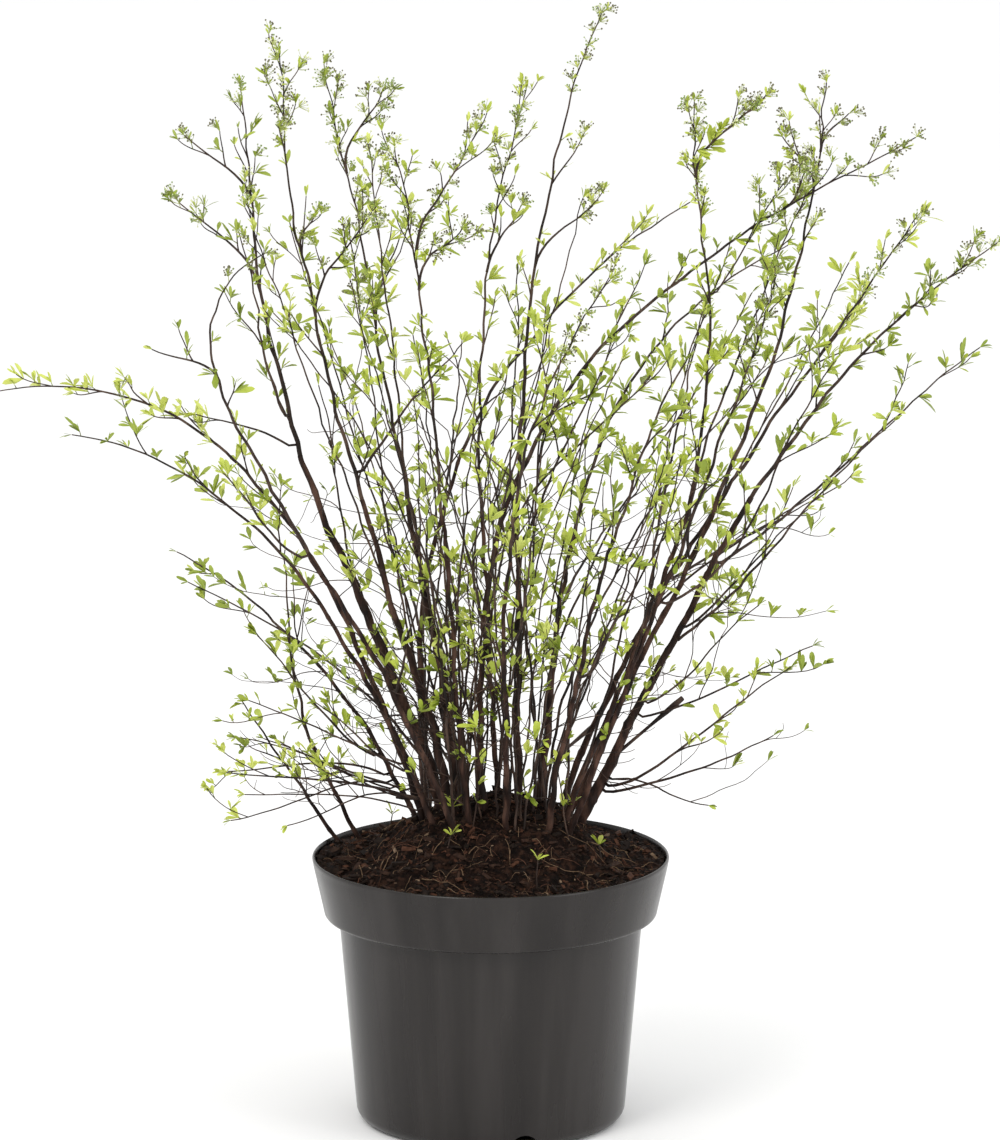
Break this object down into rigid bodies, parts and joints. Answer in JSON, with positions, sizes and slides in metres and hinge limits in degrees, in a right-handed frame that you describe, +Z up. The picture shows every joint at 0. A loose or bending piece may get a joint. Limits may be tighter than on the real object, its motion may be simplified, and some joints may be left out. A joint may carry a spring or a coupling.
{
  "type": "spirea shrub in a nursery pot",
  "caption": "Upright, arching spirea shrub with thin dark stems, sprays of young leaves and flower buds, in a round banded nursery pot of soil.",
  "frame": {"origin": "centre of the pot's flat underside, on the pot's axis", "axes": "+Z up along the pot's axis; +X to the right and +Y away from a viewer who faces the shrub's front"},
  "size_m": [0.8122, 0.6086, 0.8976],
  "materials": {
    "pot_plastic": "satin",
    "bark_compost": "matte",
    "stem_bark": "matte",
    "young_leaves": "satin"
  },
  "bodies": {
    "root": {"back_fill_spray": "young_leaves", "back_left_fill_spray": "young_leaves", "back_left_rise_spray": "young_leaves", "back_left_rise_stem": "stem_bark", "back_mid_fill_spray": "young_leaves", "back_right_arm_spray": "young_leaves", "back_right_fill_spray": "young_leaves", "back_right_outer_spray": "young_leaves", "back_right_outer_stem": "stem_bark", "back_right_rise_spray": "young_leaves", "back_right_rise_stem": "stem_bark", "back_rise_spray": "young_leaves", "back_rise_stem": "stem_bark", "crossing_spray": "young_leaves", "crossing_stem": "stem_bark", "front_fill_spray": "young_leaves", "front_left_fill_spray": "young_leaves", "front_left_outer_spray": "young_leaves", "front_left_outer_stem": "stem_bark", "front_left_rise_spray": "young_leaves", "front_left_rise_stem": "stem_bark", "front_right_arm_spray": "young_leaves", "front_right_fill_spray": "young_leaves", "front_right_outer_spray": "young_leaves", "front_right_outer_stem": "stem_bark", "front_right_rise_spray": "young_leaves", "front_right_rise_stem": "stem_bark", "front_rise_spray": "young_leaves", "front_rise_stem": "stem_bark", "left_arch_spray": "young_leaves", "left_arch_stem": "stem_bark", "left_cane_spray": "young_leaves", "left_cane_stem": "stem_bark", "left_low_arch_spray": "young_leaves", "left_low_arch_stem": "stem_bark", "left_rise_spray": "young_leaves", "left_rise_stem": "stem_bark", "left_short_cane_spray": "young_leaves", "left_short_cane_stem": "stem_bark", "left_trunk_spray": "young_leaves", "left_trunk_stem": "stem_bark", "low_left_fan_spray": "young_leaves", "low_left_reach_spray": "young_leaves", "low_left_reach_stem": "stem_bark", "low_right_fan_spray": "young_leaves", "pot": "pot_plastic", "potting_soil": "bark_compost", "right_arm_spray": "young_leaves", "right_leader_spray": "young_leaves", "right_leader_stem": "stem_bark", "right_low_arm_spray": "young_leaves", "right_reach_spray": "young_leaves", "right_reach_stem": "stem_bark", "right_rise_spray": "young_leaves", "right_rise_stem": "stem_bark", "right_trunk_spray": "young_leaves", "right_trunk_stem": "stem_bark", "tall_leader_spray": "young_leaves", "tall_leader_stem": "stem_bark"}
  },
  "joints": []
}
